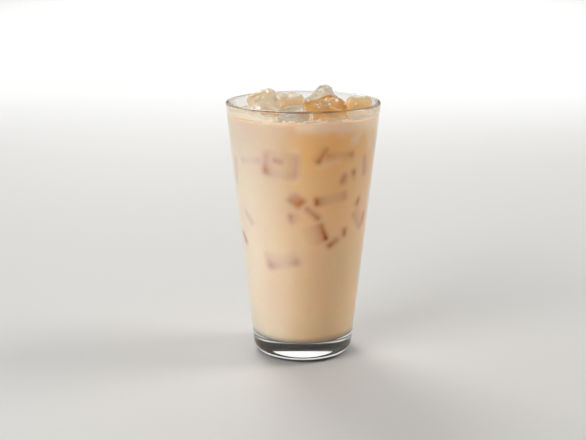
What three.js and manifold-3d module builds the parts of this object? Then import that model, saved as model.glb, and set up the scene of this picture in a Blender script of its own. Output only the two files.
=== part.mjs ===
// An iced chai latte: a tapered pint glass with a thick foot, filled with milky tea,
// and ice cubes that float in the tea and heap up past the rim.
// Millimetres, +Z up. The origin is the middle of the foot, on the surface the glass stands on.

import * as THREE from "three";
import { mergeVertices } from "three/addons/utils/BufferGeometryUtils.js";
import Module from "manifold-3d";

const wasm = await Module();
wasm.setup();

// The glass, outside
const glassHeight = 149.2;
const rimRadius = 44.5;
const wallRadiusAtTable = 28.6; // where the straight wall would meet the table, were the heel not rounded
const heelRadius = 6.8;
const ringInnerRadius = 15; // the foot stands on a flat ring, from here out to the heel
const hollowDepth = 1.6; // of the shallow hollow under the foot, inside the ring

// The glass, inside
const rimThickness = 2.6;
const wallThicknessLow = 3.8;
const footThickness = 11.6;
const innerHeelRadius = 6.5;

// The drink
const drinkLevel = 142;
const meniscusRise = 0.9; // how far the tea climbs up the glass
const meniscusWidth = 2.4;
const gap = 0.3; // kept between pieces that touch

// The ice
const cubeEdge = 20.5;
const cubeRounding = 0.24; // of half an edge, melted away at edges and corners
const cubeTopHollow = 0.12; // of half an edge, how deep the top has sunk in
const cubeBottomHollow = 0.04;
const cubeTaper = 0.08; // most that one end is wider or narrower than the middle
const cubeWave = [0.02, 0.05]; // least and most depth of each slow wave in its faces
const cubeSteps = 6; // faces along each edge

const roundSteps = 64; // facets round the glass
const hollowSteps = 5;
const meniscusSteps = 5;

const wallSlope = (rimRadius - wallRadiusAtTable) / glassHeight;
const wallLean = Math.atan(wallSlope);

const materials = {
  glass: new THREE.MeshStandardMaterial({
    color: 0xeef3f2,
    roughness: 0.03,
    metalness: 0,
    transparent: true,
    opacity: 0.3,
  }),
  drink: new THREE.MeshStandardMaterial({ color: 0xd9b48c, roughness: 0.35, metalness: 0 }),
  ice: new THREE.MeshStandardMaterial({
    color: 0xf3e6d2,
    roughness: 0.12,
    metalness: 0,
    transparent: true,
    opacity: 0.6,
  }),
};

// Points on an arc in the (radius, height) plane, angles in radians.
function arc(centreR, centreZ, radius, from, to, steps) {
  return Array.from({ length: steps + 1 }, (_, i) => {
    const angle = from + ((to - from) * i) / steps;
    return new THREE.Vector2(centreR + radius * Math.cos(angle), centreZ + radius * Math.sin(angle));
  });
}

// Turns a profile, listed from the axis outwards and up, round +Z.
function turned(profile) {
  return new THREE.LatheGeometry(profile, roundSteps).rotateX(Math.PI / 2);
}

// The outside radius of the glass at a height, and its inside radius, with the wall thinning towards the rim.
function outerRadius(z) {
  return wallRadiusAtTable + wallSlope * z;
}

function innerRadius(z) {
  const up = (z - footThickness) / (glassHeight - footThickness);
  return outerRadius(z) - THREE.MathUtils.lerp(wallThicknessLow, rimThickness, up);
}

// The lean of the inside wall, which isn't quite that of the outside.
const innerLean = Math.atan(
  (innerRadius(glassHeight) - innerRadius(footThickness)) / (glassHeight - footThickness),
);

// The inside of the glass from the floor's centre to the rim, moved in by an inset.
function innerProfile(inset, topZ) {
  const radius = innerHeelRadius - inset;
  const floorZ = footThickness + inset;
  const centreZ = footThickness + innerHeelRadius;
  const centreR = innerRadius(centreZ) - innerHeelRadius / Math.cos(innerLean);
  return [
    new THREE.Vector2(0, floorZ),
    ...arc(centreR, centreZ, radius, -Math.PI / 2, -innerLean, 6),
    new THREE.Vector2(innerRadius(topZ) - inset / Math.cos(innerLean), topZ),
  ];
}

function glass() {
  const heelCentreR = wallRadiusAtTable + (wallSlope * heelRadius - heelRadius / Math.cos(wallLean));
  const rimRound = rimThickness / 2;
  const rimZ = glassHeight - rimRound;
  const hollow = Array.from({ length: hollowSteps + 1 }, (_, i) => {
    const outwards = i / hollowSteps;
    return new THREE.Vector2(ringInnerRadius * outwards, hollowDepth * (1 - outwards ** 3));
  });
  const heel = arc(heelCentreR, heelRadius, heelRadius, -Math.PI / 2, -wallLean, 7);
  const rim = arc(outerRadius(rimZ) - rimRound, rimZ, rimRound, -wallLean, Math.PI - innerLean, 8);
  const inside = innerProfile(0, rimZ - rimRound).reverse();
  return turned([...hollow, ...heel, ...rim, ...inside]);
}

// The tea up to its level, before the ice is cut out of it.
function drinkBody() {
  const wallTop = drinkLevel + meniscusRise;
  const atWall = innerRadius(wallTop) - gap / Math.cos(innerLean);
  const meniscus = Array.from({ length: meniscusSteps }, (_, i) => {
    const inwards = (i + 1) / meniscusSteps;
    const lift = meniscusRise * (1 - inwards) ** 3;
    return new THREE.Vector2(atWall - meniscusWidth * inwards, drinkLevel + lift);
  });
  return turned([...innerProfile(gap, wallTop), ...meniscus, new THREE.Vector2(0, drinkLevel)]);
}

// The same shape with the vertices of neighbouring faces joined into one.
function joined(geometry) {
  const bare = geometry.clone();
  bare.deleteAttribute("normal");
  bare.deleteAttribute("uv");
  return mergeVertices(bare, 1e-4);
}

// A repeatable random number from 0 to 1 for each call.
function seededRandom(seed) {
  let state = seed;
  return () => {
    state = (state + 0x6d2b79f5) | 0;
    let mixed = Math.imul(state ^ (state >>> 15), 1 | state);
    mixed = (mixed + Math.imul(mixed ^ (mixed >>> 7), 61 | mixed)) ^ mixed;
    return ((mixed ^ (mixed >>> 14)) >>> 0) / 4294967296;
  };
}

// The slow waves and the taper that melting leaves, different for each seed.
function meltOf(seed) {
  const random = seededRandom(seed);
  const signed = () => 2 * random() - 1;
  return {
    taper: { x: cubeTaper * signed(), y: cubeTaper * signed() },
    waves: Array.from({ length: 3 }, () => ({
      along: new THREE.Vector3(signed(), signed(), signed()).normalize(),
      phase: 2 * Math.PI * random(),
      depth: THREE.MathUtils.lerp(...cubeWave, random()),
    })),
  };
}

// A half-melted ice cube: rounded edges, sunken ends, tapered and wavy sides. Grow moves its surface out.
function meltedCube({ size, seed }, grow = 0) {
  const { taper, waves } = meltOf(seed);
  const geometry = new THREE.BoxGeometry(2, 2, 2, cubeSteps, cubeSteps, cubeSteps);
  const corners = geometry.getAttribute("position");
  const point = new THREE.Vector3();
  const core = new THREE.Vector3();
  const halfSize = new THREE.Vector3(...size).multiplyScalar(0.5).addScalar(grow);
  for (let i = 0; i < corners.count; i++) {
    // Closer lines towards the edges, where the rounding needs them
    point.fromBufferAttribute(corners, i);
    const [x, y, z] = point.toArray().map((u) => Math.sin((u * Math.PI) / 2));
    core.set(x, y, z).clampScalar(cubeRounding - 1, 1 - cubeRounding);
    point.set(x, y, z).sub(core).setLength(cubeRounding).add(core);
    const hollow = z > 0 ? cubeTopHollow : cubeBottomHollow;
    point.z -= Math.sign(z) * hollow * (1 - x * x) * (1 - y * y);
    point.x *= 1 + taper.x * point.z;
    point.y *= 1 + taper.y * point.z;
    const swells = waves.map((wave) => wave.depth * Math.sin(3 * wave.along.dot(point) + wave.phase));
    point.multiplyScalar(swells.reduce((sum, swell) => sum + swell, 1)).multiply(halfSize);
    corners.setXYZ(i, ...point);
  }
  const cube = joined(geometry);
  cube.computeVertexNormals();
  return cube;
}

// The cubes that break the surface. At is the centre, turn is about X, Y and Z in degrees, size is in edges.
const cubes = [
  { name: "ice_peak_left", at: [-21, 3.2, 143.3], turn: [42, -21, 8], size: [0.66, 0.9, 0.92], seed: 11 },
  { name: "ice_back_left", at: [-9.5, 27, 139.2], turn: [11, -4, 14], size: [0.78, 0.82, 0.95], seed: 23 },
  { name: "ice_peak_right", at: [11.5, 22, 143], turn: [6, 50, -8], size: [0.8, 0.86, 0.82], seed: 37 },
  { name: "ice_middle", at: [12, -3, 139.4], turn: [8, 2, 34], size: [0.94, 0.84, 0.98], seed: 41 },
  { name: "ice_right", at: [31, 5, 140.2], turn: [-8, 7, 4], size: [0.62, 0.84, 0.95], seed: 53 },
  { name: "ice_front_left", at: [-23.2, -19.8, 138.8], turn: [8, 6, 41], size: [0.78, 0.78, 0.85], seed: 67 },
  { name: "ice_front_middle", at: [-5, -28, 139.4], turn: [14, -10, -6], size: [0.7, 0.75, 0.8], seed: 71 },
  { name: "ice_front_right", at: [14, -26.4, 140], turn: [22, 14, -30], size: [0.66, 0.66, 0.74], seed: 83 },
];

// Turns a closed geometry into a solid for cutting.
function toSolid(geometry) {
  const closed = joined(geometry);
  return new wasm.Manifold(
    new wasm.Mesh({
      numProp: 3,
      vertProperties: closed.getAttribute("position").array,
      triVerts: new Uint32Array(closed.index.array),
    }),
  );
}

function toGeometry(solid) {
  const { vertProperties, triVerts } = solid.getMesh();
  const geometry = new THREE.BufferGeometry();
  geometry.setAttribute("position", new THREE.BufferAttribute(new Float32Array(vertProperties), 3));
  geometry.setIndex(new THREE.BufferAttribute(new Uint32Array(triVerts), 1));
  geometry.computeVertexNormals();
  return geometry;
}

function named(name, geometry, material) {
  const mesh = new THREE.Mesh(geometry, material);
  mesh.name = name;
  return mesh;
}

// One cube as a mesh in its place, and the same cube grown by the gap, as a solid that cuts its pocket.
function placedCube(cube) {
  const spec = { ...cube, size: cube.size.map((edges) => edges * cubeEdge) };
  const mesh = named(cube.name, meltedCube(spec), materials.ice);
  mesh.position.set(...cube.at);
  mesh.rotation.set(...cube.turn.map(THREE.MathUtils.degToRad));
  mesh.updateMatrixWorld();
  const cutter = toSolid(meltedCube(spec, gap).applyMatrix4(mesh.matrixWorld));
  return { mesh, cutter };
}

// The drink with a pocket for each cube, without the slivers that pockets cut loose.
function drink(cutters) {
  const cut = cutters.reduce((left, cutter) => left.subtract(cutter), toSolid(drinkBody()));
  const pieces = cut.decompose().sort((a, b) => b.volume() - a.volume());
  return toGeometry(pieces[0]);
}

const ice = cubes.map(placedCube);

const part = new THREE.Group();
part.add(named("glass", glass(), materials.glass));
part.add(named("drink", drink(ice.map(({ cutter }) => cutter)), materials.drink));
part.add(...ice.map(({ mesh }) => mesh));

export default part;
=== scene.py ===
# The looks of an iced chai latte in a pint glass. Metres, +Z up, the viewer stands at -Y.
import math
import random

import bpy
from mathutils import Matrix, Vector, noise
from mathutils.bvhtree import BVHTree


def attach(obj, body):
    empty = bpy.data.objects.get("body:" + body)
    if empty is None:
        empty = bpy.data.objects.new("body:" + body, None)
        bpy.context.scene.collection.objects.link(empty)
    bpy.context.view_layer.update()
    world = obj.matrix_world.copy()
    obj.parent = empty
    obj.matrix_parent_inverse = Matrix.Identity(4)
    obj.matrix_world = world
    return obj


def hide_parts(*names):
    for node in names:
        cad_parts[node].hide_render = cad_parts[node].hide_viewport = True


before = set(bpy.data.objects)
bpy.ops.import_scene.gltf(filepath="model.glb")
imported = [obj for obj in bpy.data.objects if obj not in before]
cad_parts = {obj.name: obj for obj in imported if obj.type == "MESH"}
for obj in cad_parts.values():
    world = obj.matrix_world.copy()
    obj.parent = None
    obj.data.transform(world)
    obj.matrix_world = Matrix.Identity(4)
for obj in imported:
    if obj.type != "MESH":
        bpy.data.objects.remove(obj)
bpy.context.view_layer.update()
mm = 0.001
print("frame loaded,", len(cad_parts), "nodes")


# Selecting, modelling and finishing

def deselectAll():
    if bpy.context.object and bpy.context.object.mode != "OBJECT":
        bpy.ops.object.mode_set(mode="OBJECT")
    bpy.ops.object.select_all(action="DESELECT")


def pick(*pieces):
    deselectAll()
    for piece in pieces:
        piece.select_set(True)
    bpy.context.view_layer.objects.active = pieces[0]


def editMesh(piece):
    pick(piece)
    bpy.ops.object.mode_set(mode="EDIT")
    bpy.ops.mesh.select_mode(type="VERT")
    bpy.ops.mesh.select_all(action="SELECT")


def closeUp(piece):
    editMesh(piece)
    bpy.ops.mesh.remove_doubles(threshold=0.001 * mm)
    bpy.ops.mesh.normals_make_consistent(inside=False)
    bpy.ops.object.mode_set(mode="OBJECT")
    bpy.ops.object.shade_smooth()


def applyModifier(piece, kind, **settings):
    pick(piece)
    modifier = piece.modifiers.new(kind.title(), kind)
    for key, value in settings.items():
        setattr(modifier, key, value)
    bpy.ops.object.modifier_apply(modifier=modifier.name)


def swell(piece, depth):
    applyModifier(piece, "DISPLACE", strength=depth, mid_level=0)


def dent(piece, texture, depth, middle=0.5):  # middle: the texture's grey that moves nothing
    applyModifier(
        piece, "DISPLACE", texture=texture, texture_coords="LOCAL", strength=depth, mid_level=middle
    )


def copyOf(piece, name):
    twin = piece.copy()
    twin.data = piece.data.copy()
    twin.name = twin.data.name = name
    twin.parent = None
    bpy.context.scene.collection.objects.link(twin)
    return twin


def join(pieces, name):
    pick(*pieces)
    bpy.ops.object.join()
    joined = bpy.context.object
    joined.name = joined.data.name = name
    return joined


def remove(piece):
    bpy.data.objects.remove(piece)


def treeOf(piece):  # for finding the nearest point of its surface
    vertices = [vertex.co.copy() for vertex in piece.data.vertices]
    faces = [tuple(face.vertices) for face in piece.data.polygons]
    return BVHTree.FromPolygons(vertices, faces)


def arc(centre, radius, start, end, steps):
    return [
        (centre[0] + radius * math.cos(angle), centre[1] + radius * math.sin(angle))
        for angle in (start + (end - start) * step / steps for step in range(steps + 1))
    ]


def turnedPiece(name, profile, steps):  # profile: (radius, height) pairs, drawn as one line
    deselectAll()
    bpy.ops.mesh.primitive_plane_add(size=mm)
    piece = bpy.context.object
    piece.name = piece.data.name = name
    editMesh(piece)
    bpy.ops.mesh.merge(type="CENTER")  # one vertex, which is drawn out into the profile
    bpy.ops.transform.translate(value=(profile[0][0], 0, profile[0][1]))
    for start, end in zip(profile, profile[1:]):
        step = (end[0] - start[0], 0, end[1] - start[1])
        bpy.ops.mesh.extrude_region_move(TRANSFORM_OT_translate={"value": step})
    bpy.ops.mesh.select_all(action="SELECT")
    bpy.ops.mesh.spin(steps=steps, angle=2 * math.pi, center=(0, 0, 0), axis=(0, 0, 1))
    closeUp(piece)
    return piece


def finishPiece(piece, material, slot, *nodes):
    piece.data.materials.clear()
    piece.data.materials.append(material)
    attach(piece, "root")
    if nodes:
        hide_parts(*nodes)


# Shader maths

class Wire:  # a node's output that reads as a number in an expression
    def __init__(self, graph, socket):
        self.graph, self.socket = graph, socket

    def combine(self, operation, first, second):
        return self.graph.add("ShaderNodeMath", {"operation": operation}, {0: first, 1: second})

    def __add__(self, other):
        return self.combine("ADD", self, other)

    def __sub__(self, other):
        return self.combine("SUBTRACT", self, other)

    def __rsub__(self, other):
        return self.combine("SUBTRACT", other, self)

    def __mul__(self, other):
        return self.combine("MULTIPLY", self, other)

    __radd__, __rmul__ = __add__, __mul__


class Graph:  # the nodes of one material, or of the world
    def __init__(self, tree):
        self.tree = tree
        tree.nodes.clear()

    def add(self, kind, settings=None, inputs=None, output=0):
        node = self.tree.nodes.new(kind)
        for key, value in (settings or {}).items():
            if key == "stops":
                self.setStops(node.color_ramp, value)
            else:
                setattr(node, key, value)
        for key, value in (inputs or {}).items():
            if isinstance(value, Wire):
                self.tree.links.new(value.socket, node.inputs[key])
            else:
                node.inputs[key].default_value = value
        return Wire(self, node.outputs[output])

    def mixed(self, blend, share, first, second):
        return self.add("ShaderNodeMix", {"data_type": "RGBA", "blend_type": blend},
                        {0: share, 6: first, 7: second}, output=2)

    def setStops(self, ramp, stops):
        while len(ramp.elements) < len(stops):
            ramp.elements.new(1)
        for element, (place, colour) in zip(ramp.elements, stops):
            element.position = place
            element.color = (*colour, 1)

    def surface(self, shader, kind="ShaderNodeOutputMaterial"):
        output = self.tree.nodes.new(kind)
        self.tree.links.new(shader.socket, output.inputs["Surface"])


def newMaterial(name):
    material = bpy.data.materials.new(name)
    material.use_nodes = True
    return material, Graph(material.node_tree)


def placeOn(graph):  # where a point is on its own piece
    return graph.add("ShaderNodeTexCoord", output="Object")


def along(graph, where, axis):
    return graph.add("ShaderNodeSeparateXYZ", inputs={0: where}, output=axis)


def noiseOn(graph, where, scale, detail):
    return graph.add("ShaderNodeTexNoise", inputs={"Vector": where, "Scale": scale, "Detail": detail})


def bumped(graph, height, strength, depth):
    return graph.add("ShaderNodeBump", inputs={"Strength": strength, "Distance": depth, "Height": height})


def toned(graph, value, stops):  # a colour for each value, between (place, colour) stops
    return graph.add("ShaderNodeValToRGB", {"stops": stops}, {0: value})


def ramped(graph, value, low, high, atLow=0.0, atHigh=1.0):
    return graph.add("ShaderNodeMapRange", inputs={
        "Value": value, "From Min": low, "From Max": high, "To Min": atLow, "To Max": atHigh,
    })


def edged(graph, value, edge, blur, below=0.0, above=1.0):  # a soft step at the edge
    return ramped(graph, value, edge - blur, edge + blur, below, above)


def lettingLightIn(graph, shader, tint, share=1.0):  # light passes clear stuff on its way to what's inside
    path = graph.add("ShaderNodeLightPath", output="Is Shadow Ray")
    clear = graph.add("ShaderNodeBsdfTransparent", inputs={"Color": (*tint, 1)})
    return graph.add("ShaderNodeMixShader", inputs={0: path * share, 1: shader, 2: clear})


# The glass

pintGlass = {
    "height": 149.2 * mm,
    "rimRadius": 44.5 * mm,
    "wallRadiusAtTable": 28.6 * mm,  # where the straight wall would meet the table
    "heelRadius": 6.8 * mm,
    "ringInnerRadius": 15 * mm,  # it stands on a flat ring, from here out to the heel
    "hollowDepth": 1.6 * mm,  # of the shallow hollow inside the ring
    "rimThickness": 2.6 * mm,
    "wallThicknessLow": 3.8 * mm,
    "footThickness": 11.6 * mm,
    "innerHeelRadius": 6.5 * mm,
    "roundSteps": 192,
    "hollowSteps": 14,
    "heelSteps": 16,
    "rimSteps": 16,
    "cornerSteps": 14,
    "clear": (0.985, 0.995, 0.99),
    "shadowTint": (0.94, 0.95, 0.94),
    "shadowHeights": (9 * mm, 15 * mm),  # below, the foot bends light aside; above, the wall lets it through
    "waveScale": 45,
    "waveStrength": 0.06,
    "waveDepth": 0.4 * mm,
    "paintedContactShade": (0.022, 0.022, 0.023),  # painted contact shade: a dark ring where the foot meets the table, which the foot magnifies into a dark band
    "contactShadeRoughness": 0.5,
    "contactShadeGloss": 0.25,
    "contactShadeCover": 0.97,
    "contactShadeFrom": 13 * mm,  # out from the axis
    "contactShadeFromBlur": 0.5 * mm,
    "contactShadeUpTo": 2.3 * mm,  # up the heel
    "contactShadeUpToBlur": 0.2 * mm,
    "rimShade": (0.28, 0.22, 0.18),  # painted shade: a dark line outside the crest of the rim, for the dark its thick edge shows
    "rimCrest": 148.4 * mm,
    "rimCrestBlur": 0.15 * mm,
    "rimFrom": 43.1 * mm,
    "rimFromBlur": 0.1 * mm,
}


def outerRadius(z):
    atTable, atRim = pintGlass["wallRadiusAtTable"], pintGlass["rimRadius"]
    return atTable + (atRim - atTable) * z / pintGlass["height"]


def innerRadius(z):
    floorZ, low, high = pintGlass["footThickness"], pintGlass["wallThicknessLow"], pintGlass["rimThickness"]
    up = (z - floorZ) / (pintGlass["height"] - floorZ)
    return outerRadius(z) - low - (high - low) * up


def wallGap(point):
    return innerRadius(point.z) - math.hypot(point.x, point.y)


def leanBetween(radiusAt, low, high):
    return math.atan((radiusAt(high) - radiusAt(low)) / (high - low))


outerLean = leanBetween(outerRadius, 0, pintGlass["height"])
innerLean = leanBetween(innerRadius, pintGlass["footThickness"], pintGlass["height"])


def innerCorner(outset):  # the inside's floor and its rounded corner, moved out into the glass
    floorZ, radius = pintGlass["footThickness"], pintGlass["innerHeelRadius"]
    centreZ = floorZ + radius
    centreR = innerRadius(centreZ) - radius / math.cos(innerLean)
    corner = arc((centreR, centreZ), radius + outset, -math.pi / 2, -innerLean, pintGlass["cornerSteps"])
    return [(0, floorZ - outset)] + corner


def makeGlass():
    steps = pintGlass["hollowSteps"]
    hollow = [
        (pintGlass["ringInnerRadius"] * step / steps, pintGlass["hollowDepth"] * (1 - (step / steps) ** 3))
        for step in range(steps + 1)
    ]
    heelZ = pintGlass["heelRadius"]
    heelR = outerRadius(heelZ) - heelZ / math.cos(outerLean)
    heel = arc((heelR, heelZ), heelZ, -math.pi / 2, -outerLean, pintGlass["heelSteps"])
    rimRound = pintGlass["rimThickness"] / 2
    rimZ = pintGlass["height"] - rimRound
    rimR = outerRadius(rimZ) - rimRound
    rim = arc((rimR, rimZ), rimRound, -outerLean, math.pi - innerLean, pintGlass["rimSteps"])
    inside = innerCorner(0)[::-1]
    return turnedPiece("pint_glass", hollow + heel + rim + inside, pintGlass["roundSteps"])


def glassMaterial():
    look = pintGlass
    material, graph = newMaterial("clearGlass")
    where = placeOn(graph)
    height = along(graph, where, "Z")
    flat = graph.add("ShaderNodeVectorMath", {"operation": "MULTIPLY"}, {0: where, 1: (1, 1, 0)})
    radius = graph.add("ShaderNodeVectorMath", {"operation": "LENGTH"}, {0: flat}, output="Value")
    # painted shade along the outer crest of the rim
    crest = edged(graph, height, look["rimCrest"], look["rimCrestBlur"])
    crest = crest * edged(graph, radius, look["rimFrom"], look["rimFromBlur"])
    # painted contact shade: a dark ring under the foot, out from the axis and up the heel
    ring = edged(graph, radius, look["contactShadeFrom"], look["contactShadeFromBlur"])
    contactShaded = ring * edged(graph, height, look["contactShadeUpTo"], look["contactShadeUpToBlur"], 1.0, 0.0)
    waves = noiseOn(graph, where, look["waveScale"], 1)
    bump = bumped(graph, waves, look["waveStrength"], look["waveDepth"])
    smooth = graph.add("ShaderNodeBsdfPrincipled", inputs={
        "Base Color": graph.mixed("MIX", crest, (*look["clear"], 1), (*look["rimShade"], 1)),
        "Roughness": 0,
        "IOR": 1.5,
        "Transmission Weight": 1,
        "Normal": bump,
    })
    # the dark sheet of the painted contact shade
    rough = graph.add("ShaderNodeBsdfPrincipled", inputs={
        "Base Color": (*look["paintedContactShade"], 1),
        "Roughness": look["contactShadeRoughness"],
        "Specular IOR Level": look["contactShadeGloss"],
    })
    glass = graph.add("ShaderNodeMixShader", inputs={0: contactShaded * look["contactShadeCover"], 1: smooth, 2: rough})
    aboveFoot = ramped(graph, height, *look["shadowHeights"])
    graph.surface(lettingLightIn(graph, glass, look["shadowTint"], aboveFoot))
    return material


# The ice that breaks the surface

floatingIce = {
    "stains": {
        "ice_peak_left": "cream",
        "ice_back_left": "cream",
        "ice_peak_right": "clear",
        "ice_middle": "amber",
        "ice_right": "honey",
        "ice_front_left": "cream",
        "ice_front_middle": "clear",
        "ice_front_right": "amber",
    },
    "kinds": {
        "clear": {"pale": (0.8, 0.77, 0.69), "deep": (0.68, 0.61, 0.46), "cloudiness": 0.42},
        "cream": {"pale": (0.93, 0.86, 0.74), "deep": (0.88, 0.71, 0.47), "cloudiness": 0.68},
        "honey": {"pale": (0.92, 0.82, 0.62), "deep": (0.85, 0.6, 0.3), "cloudiness": 0.5},
        "amber": {"pale": (0.88, 0.66, 0.33), "deep": (0.8, 0.45, 0.12), "cloudiness": 0.38},
    },
    "smoothing": 2,
    "melting": 90,  # how often the edges are rounded off
    "swelling": 0.9 * mm,  # makes up for what the rounding takes away
    "dentSize": 8 * mm,
    "dentDepth": 3.4 * mm,
    "rippleSize": 2.6 * mm,
    "rippleDepth": 0.7 * mm,
    "clearance": 2.2 * mm,  # from the glass
    "bluntTips": {"ice_peak_left": 4 * mm, "ice_peak_right": 5 * mm},  # how far down from the tip
    "tipLowering": 0.24,
    "tipWidening": 0.38,
    "noiseSpan": (0.35, 0.65),  # where most of a noise's values lie
    "stainScale": 70,
    "frostScale": 150,
    "frostRoughness": (0.05, 0.25),
    "grainScale": 420,
    "grainStrength": 0.3,
    "grainDepth": 0.25 * mm,
    "scatter": (1, 0.9, 0.8),
    "scatterDepth": 3 * mm,
    "shadowTint": (0.93, 0.88, 0.8),
}


def cloudTexture(name, size):
    texture = bpy.data.textures.new(name, "CLOUDS")
    texture.noise_scale = size
    texture.noise_depth = 1
    return texture


def bluntTip(piece, depth):
    tip = max((vertex.co for vertex in piece.data.vertices), key=lambda at: at.z).copy()
    for vertex in piece.data.vertices:
        share = (vertex.co.z - tip.z + depth) / depth
        if share > 0:
            widen = floatingIce["tipWidening"] * share
            vertex.co.x += (vertex.co.x - tip.x) * widen
            vertex.co.y += (vertex.co.y - tip.y) * widen
            vertex.co.z -= share * share * depth * floatingIce["tipLowering"]


def keepOffGlass(piece):
    for vertex in piece.data.vertices:
        tooFar = floatingIce["clearance"] - wallGap(vertex.co)
        if tooFar > 0:
            reach = math.hypot(vertex.co.x, vertex.co.y)
            vertex.co.x *= 1 - tooFar / reach
            vertex.co.y *= 1 - tooFar / reach


def makeIce(name, dents, ripples):
    shape = floatingIce
    piece = copyOf(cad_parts[name], name + "_melting")
    closeUp(piece)
    applyModifier(piece, "SUBSURF", levels=shape["smoothing"], render_levels=shape["smoothing"])
    applyModifier(piece, "SMOOTH", factor=0.5, iterations=shape["melting"])
    swell(piece, shape["swelling"])
    dent(piece, dents, shape["dentDepth"])
    dent(piece, ripples, shape["rippleDepth"])
    if name in shape["bluntTips"]:
        bluntTip(piece, shape["bluntTips"][name])
    keepOffGlass(piece)
    return piece


def iceMaterial(kind):
    look, stain = floatingIce, floatingIce["kinds"][kind]
    low, high = look["noiseSpan"]
    material, graph = newMaterial(kind + "Ice")
    where = placeOn(graph)
    stained = noiseOn(graph, where, look["stainScale"], 2)
    tint = toned(graph, stained, [(low, stain["pale"]), (high, stain["deep"])])
    frost = noiseOn(graph, where, look["frostScale"], 3)
    grain = noiseOn(graph, where, look["grainScale"], 2)
    bump = bumped(graph, grain, look["grainStrength"], look["grainDepth"])
    ice = graph.add("ShaderNodeBsdfPrincipled", inputs={
        "Base Color": tint,
        "Roughness": ramped(graph, frost, low, high, *look["frostRoughness"]),
        "IOR": 1.31,
        "Transmission Weight": 1 - stain["cloudiness"],
        "Subsurface Weight": 1,
        "Subsurface Radius": look["scatter"],
        "Subsurface Scale": look["scatterDepth"],
        "Normal": bump,
    })
    graph.surface(lettingLightIn(graph, ice, look["shadowTint"]))
    return material


# The ice under the surface shows through the milk only where it nearly touches the glass; there the milk's
# colour is darkened as painted shade.
# Each cube leans one edge against the wall: from and to are its ends as (degrees round from the front,
# height, depth under the milk), sides are the other two in mm, and tip rolls the cube about that edge:
# at 0 its face lies along the wall on one side of the edge, at 90 on the other. Rounding is that of its
# edges, and sunk is how far the face at the wall has melted in.

sunkenIce = {
    "rounding": 1.6,
    "faces": 3,
    "cuts": 4,
    "dentDepth": 0.4 * mm,
    "dentMiddle": 0.6,
    "cubes": [
        {"from": (-33, 111.8, 0.08), "to": (-7, 110, 0.6), "sides": (16, 16.5), "tip": -4.5,
         "rounding": 4, "sunk": 2},
        {"from": (-24, 121, 0.3), "to": (-17, 120, 0.6), "sides": (5, 4), "tip": 20},
        {"from": (-14, 98.6, 0.1), "to": (-5.6, 93.8, 0.1), "sides": (8, 8), "tip": -1, "rounding": 2.3},
        {"from": (11.8, 95.6, 0.05), "to": (39.3, 98, 0.45), "sides": (12, 5.4), "tip": -4},
        {"from": (12.6, 120.4, 0.0), "to": (19.2, 128, 0.4), "sides": (9, 9), "tip": 30},
        {"from": (19.5, 125.2, 0.6), "to": (42.5, 124.6, 0.25), "sides": (12, 12), "tip": 60},
        {"from": (46.1, 113.2, 0.1), "to": (47.5, 108, 1.8), "sides": (5, 5), "tip": 45},
        {"from": (35.6, 112.8, 0.5), "to": (33.2, 108.6, 0.3), "sides": (6, 6), "tip": 30},
        {"from": (56.6, 97.2, 0.25), "to": (54.4, 93.6, 0.2), "sides": (5, 5), "tip": 45},
        {"from": (3.2, 95, 0.5), "to": (14, 88.3, 0.25), "sides": (9, 9), "tip": 45},
        {"from": (-12.2, 90.2, 0.35), "to": (-11, 86, 0.9), "sides": (8, 8), "tip": 24},
        {"from": (17.8, 85.5, 0.4), "to": (23.6, 76, -0.2), "sides": (12, 11), "tip": 68},
        {"from": (26, 70.9, 0.0), "to": (35, 74.9, 0.4), "sides": (8, 8), "tip": 28, "rounding": 2.2},
        {"from": (41.5, 80.6, 0.2), "to": (41.5, 76.6, 0.2), "sides": (6, 6), "tip": 45},
        {"from": (-33.5, 56.4, 0.85), "to": (-4, 60.6, 0.4), "sides": (14, 13), "tip": 5, "rounding": 3},
        {"from": (-73.8, 74.4, 0.2), "to": (-67.2, 69.6, 0.15), "sides": (6, 6), "tip": 45},
        {"from": (-71, 118.5, 0.9), "to": (-75, 104.5, 1.0), "sides": (14, 14), "tip": 40},
        {"from": (-62, 88.8, 1.0), "to": (-52.5, 82.8, 1.0), "sides": (10, 10), "tip": 45},
        {"from": (-58, 120, 1.1), "to": (-37, 121.5, 1.1), "sides": (12, 12), "tip": 60},
        {"from": (57.4, 121, 0.6), "to": (60.2, 110.5, 0.7), "sides": (10, 10), "tip": 30},
        {"from": (69.8, 86.6, 0.35), "to": (67.8, 81.8, 0.3), "sides": (6, 6), "tip": 45},
        {"from": (49, 87.5, 0.7), "to": (62, 78, 0.9), "sides": (12, 7), "tip": 4},
    ],
}


def wallPoint(angle, height, under):
    turn = math.radians(angle)
    radius = innerRadius(height * mm) - under * mm
    return Vector((radius * math.sin(turn), -radius * math.cos(turn), height * mm))


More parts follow.
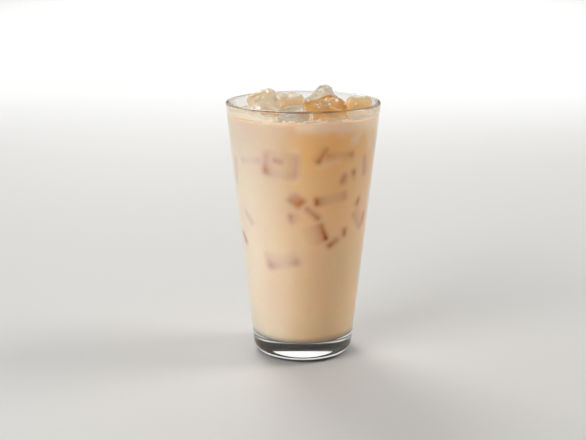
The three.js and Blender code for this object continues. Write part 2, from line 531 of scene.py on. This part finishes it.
def leaningCube(cube):
    start, end = wallPoint(*cube["from"]), wallPoint(*cube["to"])
    edgeWay = (end - start).normalized()
    middle = (start + end) / 2
    inward = Vector((-middle.x, -middle.y, 0))
    inward = (inward - edgeWay * inward.dot(edgeWay)).normalized()
    aside = edgeWay.cross(inward)
    tip = math.radians(cube["tip"])
    deepWay = inward * math.cos(tip) - aside * math.sin(tip)
    wideWay = aside * math.cos(tip) + inward * math.sin(tip)
    rounding = cube.get("rounding", sunkenIce["rounding"]) * mm
    length = (end - start).length + rounding
    deep, wide = (side * mm for side in cube["sides"])
    deselectAll()
    bpy.ops.mesh.primitive_cube_add(size=1)
    piece = bpy.context.object
    editMesh(piece)
    bpy.ops.transform.resize(value=(length, deep, wide))
    bpy.ops.transform.translate(value=(0, deep / 2, wide / 2))
    bpy.ops.mesh.bevel(offset=rounding, segments=sunkenIce["faces"], affect="EDGES")
    bpy.ops.mesh.select_all(action="SELECT")
    bpy.ops.mesh.subdivide(number_cuts=sunkenIce["cuts"])
    bpy.ops.object.mode_set(mode="OBJECT")
    for vertex in piece.data.vertices:
        across, up = 2 * vertex.co.x / length, 2 * vertex.co.z / wide - 1
        sunk = cube.get("sunk", 0) * mm * max(0, 1 - across * across) * max(0, 1 - up * up)
        vertex.co.y += sunk * (1 - vertex.co.y / deep)
    turnedToEdge = Matrix((edgeWay, deepWay, wideWay)).transposed().to_4x4()
    piece.data.transform(Matrix.Translation(middle) @ turnedToEdge)
    # Pushed outwards until its nearest corner is as deep as the shallower end asks
    wanted = min(cube["from"][2], cube["to"][2]) * mm
    outward = Vector((middle.x, middle.y, 0)).normalized()
    push = min(wallGap(vertex.co) for vertex in piece.data.vertices) - wanted
    piece.data.transform(Matrix.Translation(outward * push))
    return piece


def makeSunkenIce(dents):
    piece = join([leaningCube(cube) for cube in sunkenIce["cubes"]], "sunken_ice")
    dent(piece, dents, sunkenIce["dentDepth"], sunkenIce["dentMiddle"])
    return piece


# The drink

chaiLatte = {
    "level": 142 * mm,
    "meniscusRise": 0.9 * mm,
    "meniscusWidth": 2.4 * mm,
    "meniscusSteps": 8,
    "reach": 0.12 * mm,  # into the glass, so that no air shows between them
    "spacing": 1.1 * mm,
    "roundSteps": 216,
    "fineFrom": 54 * mm,  # the front is cut finer from this height up, where the ice shows
    "fineTurn": 96,  # degrees round from the front, either way
    "creepUpIce": 0.6 * mm,
    "creepWidth": 1.4 * mm,
    "pocketInset": 0.1 * mm,
    "wallWithin": 0.5 * mm,  # nearer to the glass than this, it's the side
    "seenWithin": 10 * mm,  # how deep the nearness of ice is measured

    # Where the drink is deepened to amber. High in the front this is painted light, for the light that comes
    # through the ice behind a thin layer of milk; lower down and along the right it is painted shade, on the
    # side away from the key light. Degrees round and height of the middle, half the width in degrees and half
    # the height in mm, and how strong
    "unmixed": [
        {"angle": 23, "height": 131, "wide": 24, "tall": 14, "strength": 0.95},
        {"angle": 22, "height": 113, "wide": 22, "tall": 16, "strength": 0.5},
        {"angle": 2, "height": 132, "wide": 14, "tall": 15, "strength": 0.3},
        {"angle": 28, "height": 98, "wide": 28, "tall": 26, "strength": 0.4},
        {"angle": 48, "height": 133, "wide": 24, "tall": 14, "strength": 0.45},
        # the broad patch down the right is painted shade
        {"angle": 38, "height": 80, "wide": 58, "tall": 200, "strength": 0.43},
    ],
    "paintedAmberDrift": {"scale": 55, "mm": 3, "degrees": 7},

    # Streaks of plain milk, from and to in (degrees round, height), half as wide as width in mm
    "streaks": [
        {"from": (54, 138.5), "to": (42.5, 131.5), "width": 2.8, "strength": 0.65},
        {"from": (-5.9, 127), "to": (-6.3, 110), "width": 2.4, "strength": 0.3},
        {"from": (11.8, 118.4), "to": (30.3, 121), "width": 2.2, "strength": 0.3},
        {"from": (-2.3, 141), "to": (30, 139.8), "width": 3.6, "strength": 0.9},
        {"from": (30, 139.8), "to": (78, 139), "width": 4.6, "strength": 0.85},
        {"from": (58, 138), "to": (66, 128), "width": 3.5, "strength": 0.5},
    ],
    "streakDrift": {"scale": 160, "mm": 1.5},

    "milky": (0.785, 0.69, 0.575),
    "amberPale": (0.78, 0.59, 0.385),
    "amberMiddle": (0.86, 0.6, 0.33),
    "amberDeep": (0.94, 0.59, 0.23),
    "milk": (0.92, 0.8, 0.64),
    "nearTop": (0.865, 0.85, 0.84),  # share of the colour that is left there
    "nearTopFrom": 80 * mm,
    "cloudShade": (0.95, 0.94, 0.93),
    "cloudScale": 28,
    "shadeOverIce": [  # painted shade over the sunken ice: depth in cm and the share of the colour round it that is left
        (0.0, (0.24, 0.1, 0.06)), (0.02, (0.58, 0.26, 0.1)), (0.045, (0.75, 0.53, 0.38)),
        (0.08, (0.8, 0.68, 0.76)), (0.13, (0.89, 0.85, 0.93)), (0.25, (1, 1, 1)),
    ],
    "froth": (0.76, 0.63, 0.48),
    "frothHeights": (141.2 * mm, 143.6 * mm),
    "frothScale": 160,
    "frothLift": 2.2 * mm,  # how far the foam's noise moves its edge
    "edge": (0.8, 0.78, 0.76),  # painted shade: share of the froth's colour that is left where it climbs the glass, against the light it catches from above
    "edgeHeights": (142.1 * mm, 142.4 * mm),
    # painted shade on the drink's underside, where little light reaches
    "undersideShade": (0.07, 0.06, 0.055),
    "undersideShadeHeights": (11.7 * mm, 12.6 * mm),
    "sideRoughness": 0.9,
    "topRoughness": 0.16,
    "topHeights": (141.6 * mm, 141.9 * mm),
    "bubbleScale": 900,
    "bubbleStrength": 0.1,
    "bubbleDepth": 0.15 * mm,
    "scatter": (1.0, 0.38, 0.16),
    "scatterDepth": 3.6 * mm,
}


def spread(start, end, spacing):  # points from start up to, but without, end
    count = max(1, round(math.dist(start, end) / spacing))
    return [
        (start[0] + (end[0] - start[0]) * step / count, start[1] + (end[1] - start[1]) * step / count)
        for step in range(count)
    ]


def drinkProfile():
    shape, steps = chaiLatte, chaiLatte["meniscusSteps"]
    corner = innerCorner(shape["reach"])
    top = shape["level"] + shape["meniscusRise"]
    wallTop = (innerRadius(top) + shape["reach"], top)
    meniscus = [
        (
            innerRadius(top) - shape["meniscusWidth"] * step / steps,
            shape["level"] + shape["meniscusRise"] * (1 - step / steps) ** 3,
        )
        for step in range(steps + 1)
    ]
    middle = (0, shape["level"])
    return (
        spread(corner[0], corner[1], 2 * shape["spacing"])
        + corner[1:-1]
        + spread(corner[-1], wallTop, shape["spacing"])
        + [wallTop]
        + meniscus[:-1]
        + spread(meniscus[-1], middle, shape["spacing"])
        + [middle]
    )


def cutFiner(drink):  # the part of the side where the sunken ice shows
    shape = chaiLatte
    editMesh(drink)
    bpy.ops.mesh.select_mode(type="FACE")
    bpy.ops.mesh.select_all(action="DESELECT")
    bpy.ops.object.mode_set(mode="OBJECT")
    turn = math.radians(shape["fineTurn"])
    for face in drink.data.polygons:
        at = face.center
        onSide = face.normal.z < 0.5 and shape["fineFrom"] < at.z < shape["level"]
        face.select = onSide and abs(math.atan2(at.x, -at.y)) < turn
    bpy.ops.object.mode_set(mode="EDIT")
    bpy.ops.mesh.subdivide(number_cuts=1)
    bpy.ops.object.mode_set(mode="OBJECT")


def climbAt(away):  # how far the surface climbs at this distance from a cube
    return chaiLatte["creepUpIce"] * math.exp(-away / chaiLatte["creepWidth"])


def creepUp(drink, ice):
    cubes = treeOf(ice)
    for vertex in drink.data.vertices:
        if vertex.co.z > chaiLatte["level"] - 0.1 * mm:
            vertex.co.z += climbAt(cubes.find_nearest(vertex.co)[3])


def makeDrink(ice):
    drink = turnedPiece("chai_latte", drinkProfile(), chaiLatte["roundSteps"])
    cutFiner(drink)
    creepUp(drink, ice)
    return drink


def cutPockets(drink, ice):
    cutter = copyOf(ice, "pockets")
    swell(cutter, -chaiLatte["pocketInset"])
    applyModifier(drink, "BOOLEAN", operation="DIFFERENCE", object=cutter, solver="MANIFOLD")
    remove(cutter)


def softStep(amount):
    amount = min(max(amount, 0), 1)
    return amount * amount * (3 - 2 * amount)


def degreesRound(point):  # from the front, to the right
    return math.degrees(math.atan2(point.x, -point.y))


# the share of painted amber light and shade at a point
def paintedAmberAt(point):
    drift = chaiLatte["paintedAmberDrift"]
    moved = noise.noise_vector(point * drift["scale"])
    height = point.z / mm + drift["mm"] * moved.z
    angle = degreesRound(point) + drift["degrees"] * moved.x
    share = 0
    for patch in chaiLatte["unmixed"]:
        across = (angle - patch["angle"]) / patch["wide"]
        up = (height - patch["height"]) / patch["tall"]
        # whole to a third of the way out, and gone at five thirds
        here = patch["strength"] * softStep(1.25 - 0.75 * math.hypot(across, up))
        share = share + here - share * here
    return share


def milkAt(point):
    drift = chaiLatte["streakDrift"]
    moved = noise.noise_vector(point * drift["scale"])
    across = math.radians(1) * innerRadius(point.z) / mm  # mm in a degree
    here = Vector((
        degreesRound(point) * across + drift["mm"] * moved.x,
        point.z / mm + drift["mm"] * moved.z,
    ))
    most = 0
    for streak in chaiLatte["streaks"]:
        start, end = (Vector((turn * across, height)) for turn, height in (streak["from"], streak["to"]))
        share = min(max((here - start).dot(end - start) / (end - start).length_squared, 0), 1)
        away = (here - start.lerp(end, share)).length
        # half as strong at five sixths of the width
        most = max(most, streak["strength"] * softStep(1 - away / streak["width"] * 0.6))
    return most


def noteWhatShows(drink, *ices):  # how near the ice is, how much painted amber light and shade each point takes, and how much is plain milk
    trees = [treeOf(ice) for ice in ices]
    far = chaiLatte["seenWithin"]
    nearness = drink.data.attributes.new("iceDepth", "FLOAT", "POINT")
    unmixed = drink.data.attributes.new("unmixed", "FLOAT", "POINT")
    milk = drink.data.attributes.new("milk", "FLOAT", "POINT")
    for vertex, near, share, white in zip(drink.data.vertices, nearness.data, unmixed.data, milk.data):
        onSide = wallGap(vertex.co) < chaiLatte["wallWithin"] and vertex.co.z < chaiLatte["level"]
        nearest = min(tree.find_nearest(vertex.co)[3] for tree in trees) if onSide else far
        near.value = min(nearest / far, 1)
        share.value = paintedAmberAt(vertex.co)
        white.value = milkAt(vertex.co)


def notedOn(graph, name):
    return graph.add("ShaderNodeAttribute", {"attribute_name": name}, output="Fac")


def drinkMaterial():
    look = chaiLatte
    material, graph = newMaterial("milkTea")
    where = placeOn(graph)
    height = along(graph, where, "Z")
    # painted light and shade: the drink's colour is deepened to amber by the noted share
    tea = toned(graph, notedOn(graph, "unmixed"), [
        (0.0, look["milky"]), (0.3, look["amberPale"]), (0.55, look["amberMiddle"]), (1.0, look["amberDeep"]),
    ])
    # painted shade where the ice nearly touches the glass
    shadeOverIce = toned(graph, notedOn(graph, "iceDepth"), look["shadeOverIce"])
    cloud = noiseOn(graph, where, look["cloudScale"], 3)
    shade = toned(graph, cloud, [(0.3, look["cloudShade"]), (0.7, (1, 1, 1))])
    tea = graph.mixed("MIX", notedOn(graph, "milk"), tea, (*look["milk"], 1))
    upper = ramped(graph, height, look["nearTopFrom"], look["level"])
    tea = graph.mixed("MULTIPLY", upper, tea, (*look["nearTop"], 1))
    side = graph.mixed("MULTIPLY", 1.0, graph.mixed("MULTIPLY", 1.0, tea, shadeOverIce), shade)
    foam = noiseOn(graph, where, look["frothScale"], 3)
    frothy = ramped(graph, height + foam * look["frothLift"], *look["frothHeights"])
    frothed = graph.mixed("MIX", frothy, side, (*look["froth"], 1))
    # painted shade where the froth climbs the glass
    climbing = ramped(graph, height, *look["edgeHeights"])
    frothed = graph.mixed("MULTIPLY", climbing, frothed, (*look["edge"], 1))
    # painted shade on the underside
    below = ramped(graph, height, *look["undersideShadeHeights"], 1.0, 0.0)
    colour = graph.mixed("MIX", below, frothed, (*look["undersideShade"], 1))
    roughness = ramped(graph, height, *look["topHeights"], look["sideRoughness"], look["topRoughness"])
    bubbly = graph.add("ShaderNodeTexVoronoi", inputs={"Vector": where, "Scale": look["bubbleScale"]})
    bump = bumped(graph, bubbly, look["bubbleStrength"], look["bubbleDepth"])
    milkTea = graph.add("ShaderNodeBsdfPrincipled", inputs={
        "Base Color": colour,
        "Roughness": roughness,
        "IOR": 1.34,
        "Subsurface Weight": 1,
        "Subsurface Radius": look["scatter"],
        "Subsurface Scale": look["scatterDepth"],
        "Normal": bump,
    })
    graph.surface(milkTea)
    return material


# The froth that gathers round the ice and along the glass

frothBubbles = {
    "seed": 7,
    "tries": 2600,
    "most": 300,
    "radii": (0.35 * mm, 1.35 * mm),
    "fromIce": 1.5 * mm,  # how near to a cube they gather
    "fromGlass": 1.6 * mm,
    "standsUp": 0.2,  # share of its radius by which a bubble's middle is over the level
    "offIce": 0.4,  # least distance of that middle from a cube, and from the glass, as shares of the radius
    "offGlass": 0.9,
    "onIce": 90,  # more of them, on the cubes themselves
    "onIceRadii": (0.25 * mm, 0.65 * mm),
    "onIceHeights": (0.5 * mm, 7 * mm),  # over the level
    "colour": (0.95, 0.89, 0.78),
    "palest": (1, 0.98, 0.93),
    "cloudScale": 300,
    "shadowTint": (0.95, 0.93, 0.9),
}


def between(ends, share):
    return ends[0] + (ends[1] - ends[0]) * share


def bubbleAt(pattern, at, radius):
    bubble = copyOf(pattern, "bubble")
    bubble.data.transform(Matrix.Translation(at) @ Matrix.Scale(radius, 4))
    return bubble


def makeFroth(ice):
    froth, level = frothBubbles, chaiLatte["level"]
    cubes = treeOf(ice)
    draw = random.Random(froth["seed"])
    deselectAll()
    bpy.ops.mesh.primitive_ico_sphere_add(subdivisions=2, radius=1)
    pattern = bpy.context.object
    bubbles = []
    for _ in range(froth["tries"]):
        turn, out, size = draw.uniform(0, 2 * math.pi), draw.random() ** 0.5, draw.random() ** 2
        reach = out * innerRadius(level)
        radius = between(froth["radii"], size)
        at = Vector((reach * math.sin(turn), -reach * math.cos(turn), level + froth["standsUp"] * radius))
        hit, normal, _, away = cubes.find_nearest(at)
        outside = (at - hit).dot(normal) > 0 and away > froth["offIce"] * radius
        gathers = away < froth["fromIce"] or wallGap(at) < froth["fromGlass"]
        inside = wallGap(at) > froth["offGlass"] * radius
        if outside and gathers and inside and len(bubbles) < froth["most"]:
            bubbles.append(bubbleAt(pattern, at + Vector((0, 0, climbAt(away))), radius))
    low, high = froth["onIceHeights"]
    above = [vertex.co for vertex in ice.data.vertices if low < vertex.co.z - level < high]
    for at in draw.sample(above, froth["onIce"]):
        bubbles.append(bubbleAt(pattern, at, between(froth["onIceRadii"], draw.random() ** 2)))
    remove(pattern)
    return join(bubbles, "froth_bubbles")


def frothMaterial():
    look = frothBubbles
    material, graph = newMaterial("frothBubble")
    cloud = noiseOn(graph, placeOn(graph), look["cloudScale"], 2)
    tint = toned(graph, cloud, [(0.3, look["colour"]), (0.7, look["palest"])])
    bubble = graph.add("ShaderNodeBsdfPrincipled", inputs={
        "Base Color": tint, "Roughness": 0.04, "IOR": 1.33, "Transmission Weight": 0.35,
    })
    graph.surface(lettingLightIn(graph, bubble, look["shadowTint"]))
    return material


# The milk left on the glass above the drink

milkFilm = {
    "from": 142.5 * mm,
    "to": 148 * mm,
    "thickness": 0.06 * mm,
    "reach": 0.02 * mm,  # into the glass
    "roundSteps": 160,
    "heightSteps": 8,
    "colour": (0.76, 0.665, 0.55),
    "roughness": 0.5,
    "patchScale": 110,
    "patchStretch": (1, 1, 0.35),  # drawn out upwards
    "thick": (0.4, 0.7, 0.12, 1.0),  # where a patch begins and is whole, and how much shows in each
    "ends": (145 * mm, 148.5 * mm),  # it thins out between these heights
    "ragged": 5 * mm,  # how far the patches move that end down
    "left": (-30 * mm, -12 * mm),  # it is whole up to the first of these places, left of the middle
    "leftHigher": 3 * mm,
    "front": (-4 * mm, 16 * mm, 1.0, 0.03),  # and is all but gone past the second of these, at the back
}


def makeFilm():
    shape, steps = milkFilm, milkFilm["heightSteps"]
    heights = [shape["from"] + (shape["to"] - shape["from"]) * step / steps for step in range(steps + 1)]
    outer = [(innerRadius(z) + shape["reach"], z) for z in heights]
    inner = [(innerRadius(z) - shape["thickness"], z) for z in heights[::-1]]
    return turnedPiece("milk_film", outer + inner + outer[:1], shape["roundSteps"])


def filmMaterial():
    look = milkFilm
    material, graph = newMaterial("milkFilm")
    where = placeOn(graph)
    height, toFront = along(graph, where, "Z"), along(graph, where, "Y")
    stretched = graph.add("ShaderNodeMapping", inputs={"Vector": where, "Scale": look["patchStretch"]})
    patches = noiseOn(graph, stretched, look["patchScale"], 4)
    left = ramped(graph, along(graph, where, "X"), *look["left"], 1.0, 0.0)
    reach = height + patches * look["ragged"] - left * look["leftHigher"]
    thins = ramped(graph, reach, *look["ends"], 1.0, 0.0)
    front = ramped(graph, toFront, *look["front"])
    graph.surface(graph.add("ShaderNodeBsdfPrincipled", inputs={
        "Base Color": (*look["colour"], 1),
        "Roughness": look["roughness"],
        "Alpha": thins * front * ramped(graph, patches + left, *look["thick"]),
    }))
    return material


# The stage

paleFloor = {
    "size": 40,
    "dip": 0.05 * mm,  # a hair below the foot, so that the two faces aren't in one plane
    "colour": (0.8, 0.8, 0.79),
    "roughness": 0.6,
}

# A bright backdrop low behind the glass and a faint window at the left, under a darker studio. Places are
# shares of a direction: 1 is straight that way.
studio = {
    "backdrop": {"From Min": 0.15, "From Max": 0.45, "To Min": 0.08, "To Max": 1.05},
    "backdropLowered": 0.9,
    "window": {"From Min": 0.76, "From Max": 0.88, "To Min": 0.0, "To Max": 0.4},
    "windowLowered": 0.2,
    "lowDark": (0.09, 0.26, 0.15, 1.0),  # up from, up to, and the share of light that is left in each
    "aside": (0.0, 0.2, 0.4, 0.0),  # a band of light along the floor, away from the backdrop
    "asideBack": (0.25, 0.5, 1.0, 0.0),
}

softboxes = {
    "key": {"place": (-0.82, -0.72, 0.5), "aim": (0, 0, 0.07), "size": (0.8, 0.8),
            "power": 9.1, "colour": (1, 0.98, 0.95)},
    "fill": {"place": (0.85, 0.1, 0.62), "aim": (0, 0, 0.12), "size": (0.4, 0.8),
             "power": 4.6, "colour": (1, 0.97, 0.93)},
    "top": {"place": (-0.25, 0.55, 0.75), "aim": (0, 0, 0.14), "size": (0.35, 0.35),
            "power": 2.6, "colour": (1, 0.98, 0.95)},
    # its spread keeps it on the floor and off the glass
    "behind": {"place": (0, 2.7, 0.9), "aim": (0, 2.7, 0), "size": (3, 3.8),
               "power": 43, "colour": (1, 1, 1), "spread": 100},
}

cameraView = {
    "place": (0, -0.65, 0.24004),
    "pitchDown": 0.243,
    "yaw": 0.00893,
    "focalPixels": 1142.3,
    "frameWidth": 586,
    "sensorWidth": 36,
}


def makeFloor():
    deselectAll()
    bpy.ops.mesh.primitive_plane_add(size=paleFloor["size"])
    floor = bpy.context.object
    floor.name = "floor"
    floor.location.z = -paleFloor["dip"]
    material, graph = newMaterial("paleFloor")
    graph.surface(graph.add("ShaderNodeBsdfPrincipled", inputs={
        "Base Color": (*paleFloor["colour"], 1), "Roughness": paleFloor["roughness"],
    }))
    floor.data.materials.append(material)


def makeWorld():
    world = bpy.data.worlds.new("studio")
    bpy.context.scene.world = world
    world.use_nodes = True
    graph = Graph(world.node_tree)
    direction = graph.add("ShaderNodeTexCoord", output="Generated")
    up, back, right = (along(graph, direction, axis) for axis in "ZYX")

    def softGlow(value, ramp):
        return graph.add("ShaderNodeMapRange", {"interpolation_type": "SMOOTHSTEP"}, {"Value": value, **ramp})

    window = softGlow(right * -1 - up * studio["windowLowered"], studio["window"])
    glow = softGlow(back - up * studio["backdropLowered"], studio["backdrop"])
    above = ramped(graph, up, *studio["lowDark"])
    aside = ramped(graph, up, *studio["aside"]) * ramped(graph, back, *studio["asideBack"])
    graph.surface(graph.add("ShaderNodeBackground", inputs={
        0: (1, 1, 1, 1), 1: (glow + window) * above + aside,
    }), "ShaderNodeOutputWorld")


def addSoftbox(name, box):
    place, aim = Vector(box["place"]), Vector(box["aim"])
    bpy.ops.object.light_add(type="AREA", location=place)
    lamp = bpy.context.object
    lamp.name = name
    lamp.data.shape = "RECTANGLE"
    lamp.data.size, lamp.data.size_y = box["size"]
    lamp.data.energy = box["power"]
    lamp.data.color = box["colour"]
    lamp.rotation_euler = (aim - place).to_track_quat("-Z", "Y").to_euler()
    if "spread" in box:
        lamp.data.spread = math.radians(box["spread"])


def makeCamera():
    view = cameraView
    bpy.ops.object.camera_add(
        location=view["place"], rotation=(math.pi / 2 - view["pitchDown"], 0, view["yaw"])
    )
    camera = bpy.context.object
    camera.data.sensor_width = view["sensorWidth"]
    camera.data.lens = view["focalPixels"] / view["frameWidth"] * view["sensorWidth"]
    bpy.context.scene.camera = camera


makeCamera()
makeFloor()
makeWorld()
for name, box in softboxes.items():
    addSoftbox(name, box)
bpy.context.scene.view_settings.view_transform = "Standard"
print("camera, floor and lights made")

glass = makeGlass()
finishPiece(glass, glassMaterial(), "glass", "glass")
print("glass made")

dents = cloudTexture("dents", floatingIce["dentSize"])
ripples = cloudTexture("ripples", floatingIce["rippleSize"])
cubes = [makeIce(name, dents, ripples) for name in floatingIce["stains"]]
allIce = join([copyOf(cube, "part") for cube in cubes], "all_ice")
sunken = makeSunkenIce(dents)
drink = makeDrink(allIce)
print("drink turned")
cutPockets(drink, allIce)
noteWhatShows(drink, sunken, allIce)
froth = makeFroth(allIce)
remove(allIce)
finishPiece(drink, drinkMaterial(), "drink", "drink")
print("drink cut round the ice,", len(drink.data.polygons), "faces")

iceKinds = {kind: iceMaterial(kind) for kind in floatingIce["kinds"]}
for cube, (name, kind) in zip(cubes, floatingIce["stains"].items()):
    finishPiece(cube, iceKinds[kind], "ice", name)
finishPiece(sunken, iceKinds["clear"], "ice")
print("ice made")

finishPiece(froth, frothMaterial(), "drink")
finishPiece(makeFilm(), filmMaterial(), "drink")
print("milk film made")
